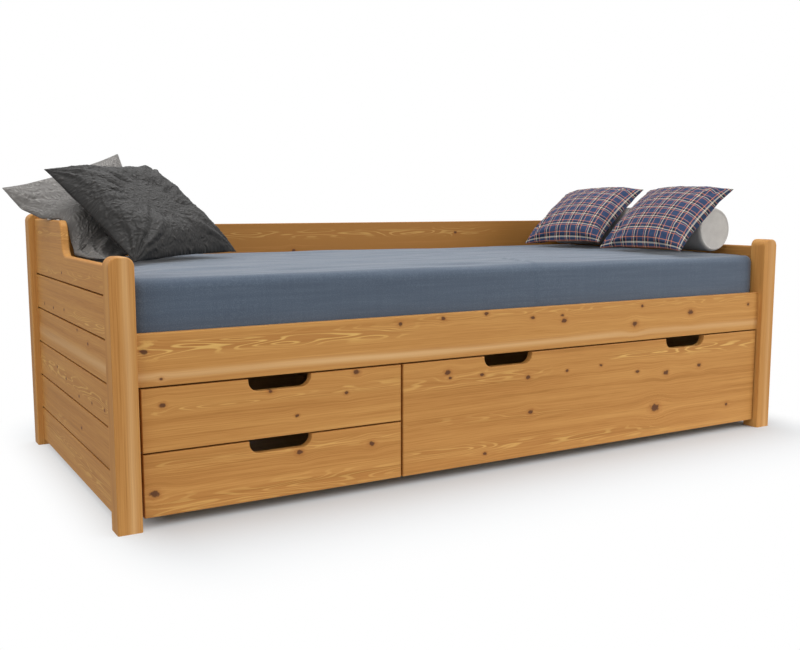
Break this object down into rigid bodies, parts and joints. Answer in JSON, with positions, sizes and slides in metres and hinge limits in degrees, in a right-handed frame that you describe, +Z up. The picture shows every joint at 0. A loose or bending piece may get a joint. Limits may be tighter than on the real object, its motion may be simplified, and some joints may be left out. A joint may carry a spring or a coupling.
{
  "type": "storage bed",
  "caption": "Single day bed in stained pine with slatted-board ends, a low back rest, push-in drawers, mattress, pillows, plaid cushions and a bolster.",
  "frame": {"origin": "on the floor under the middle of the bed frame", "axes": "+X along the bed towards the bolster's end, the drawers open towards -Y, +Z up"},
  "size_m": [2.166, 0.98, 0.8608],
  "materials": {
    "stained_pine": "satin",
    "bare_pine": "matte",
    "plywood": "matte",
    "beech": "satin",
    "zinc_steel": "satin",
    "black_plastic": "matte",
    "fitted_sheet": "matte",
    "light_grey_fabric": "matte",
    "dark_grey_fabric": "matte",
    "white_fabric": "matte",
    "plaid_fabric": "matte"
  },
  "bodies": {
    "frame": {"back_rail": "stained_pine", "back_rest_board": "stained_pine", "back_slat_ledge": "bare_pine", "front_left_post": "stained_pine", "front_rail": "stained_pine", "front_right_post": "stained_pine", "front_slat_ledge": "bare_pine", "large_drawer_runners": "beech", "left_end_board_1": "stained_pine", "left_end_board_2": "stained_pine", "left_end_board_3": "stained_pine", "left_end_board_4": "stained_pine", "left_end_board_5": "stained_pine", "left_end_top_board": "stained_pine", "lower_drawer_runners": "beech", "partition": "stained_pine", "partition_feet": "black_plastic", "rear_left_post": "stained_pine", "rear_right_post": "stained_pine", "right_end_board_1": "stained_pine", "right_end_board_2": "stained_pine", "right_end_board_3": "stained_pine", "right_end_board_4": "stained_pine", "right_end_board_5": "stained_pine", "right_end_top_board": "stained_pine", "runner_screws": "zinc_steel", "slat_01": "bare_pine", "slat_02": "bare_pine", "slat_03": "bare_pine", "slat_04": "bare_pine", "slat_05": "bare_pine", "slat_06": "bare_pine", "slat_07": "bare_pine", "slat_08": "bare_pine", "slat_09": "bare_pine", "slat_10": "bare_pine", "slat_screws": "zinc_steel", "tenon_pegs": "beech", "upper_drawer_runners": "beech"},
    "lower_drawer": {"lower_drawer_front": "stained_pine", "lower_drawer_side_left": "bare_pine", "lower_drawer_side_right": "bare_pine", "lower_drawer_back": "bare_pine", "lower_drawer_bottom": "plywood"},
    "upper_drawer": {"upper_drawer_front": "stained_pine", "upper_drawer_side_left": "bare_pine", "upper_drawer_side_right": "bare_pine", "upper_drawer_back": "bare_pine", "upper_drawer_bottom": "plywood"},
    "large_drawer": {"large_drawer_front": "stained_pine", "large_drawer_side_left": "bare_pine", "large_drawer_side_right": "bare_pine", "large_drawer_back": "bare_pine", "large_drawer_bottom": "plywood"},
    "mattress": {"mattress": "fitted_sheet"},
    "light_pillow": {"light_pillow": "light_grey_fabric"},
    "dark_pillow": {"dark_pillow": "dark_grey_fabric"},
    "bolster": {"bolster": "white_fabric"},
    "rear_plaid_cushion": {"rear_plaid_cushion": "plaid_fabric"},
    "front_plaid_cushion": {"front_plaid_cushion": "plaid_fabric"}
  },
  "joints": [
    {"name": "lower_drawer_slide", "type": "slide", "parent": "frame", "child": "lower_drawer", "axis": [0, -1, 0], "range_m": [0, 0.55]},
    {"name": "upper_drawer_slide", "type": "slide", "parent": "frame", "child": "upper_drawer", "axis": [0, -1, 0], "range_m": [0, 0.55]},
    {"name": "large_drawer_slide", "type": "slide", "parent": "frame", "child": "large_drawer", "axis": [0, -1, 0], "range_m": [0, 0.55]},
    {"name": "mattress_lift", "type": "slide", "parent": "frame", "child": "mattress", "axis": [0, 0, 1], "range_m": [0, 0.35]},
    {"name": "light_pillow_lift", "type": "slide", "parent": "mattress", "child": "light_pillow", "axis": [0, 0, 1], "range_m": [0, 0.35]},
    {"name": "dark_pillow_lift", "type": "slide", "parent": "light_pillow", "child": "dark_pillow", "axis": [0, 0, 1], "range_m": [0, 0.35]},
    {"name": "bolster_lift", "type": "slide", "parent": "mattress", "child": "bolster", "axis": [0, 0, 1], "range_m": [0, 0.35]},
    {"name": "rear_plaid_cushion_lift", "type": "slide", "parent": "bolster", "child": "rear_plaid_cushion", "axis": [0, 0, 1], "range_m": [0, 0.35]},
    {"name": "front_plaid_cushion_lift", "type": "slide", "parent": "bolster", "child": "front_plaid_cushion", "axis": [0, 0, 1], "range_m": [0, 0.35]}
  ]
}
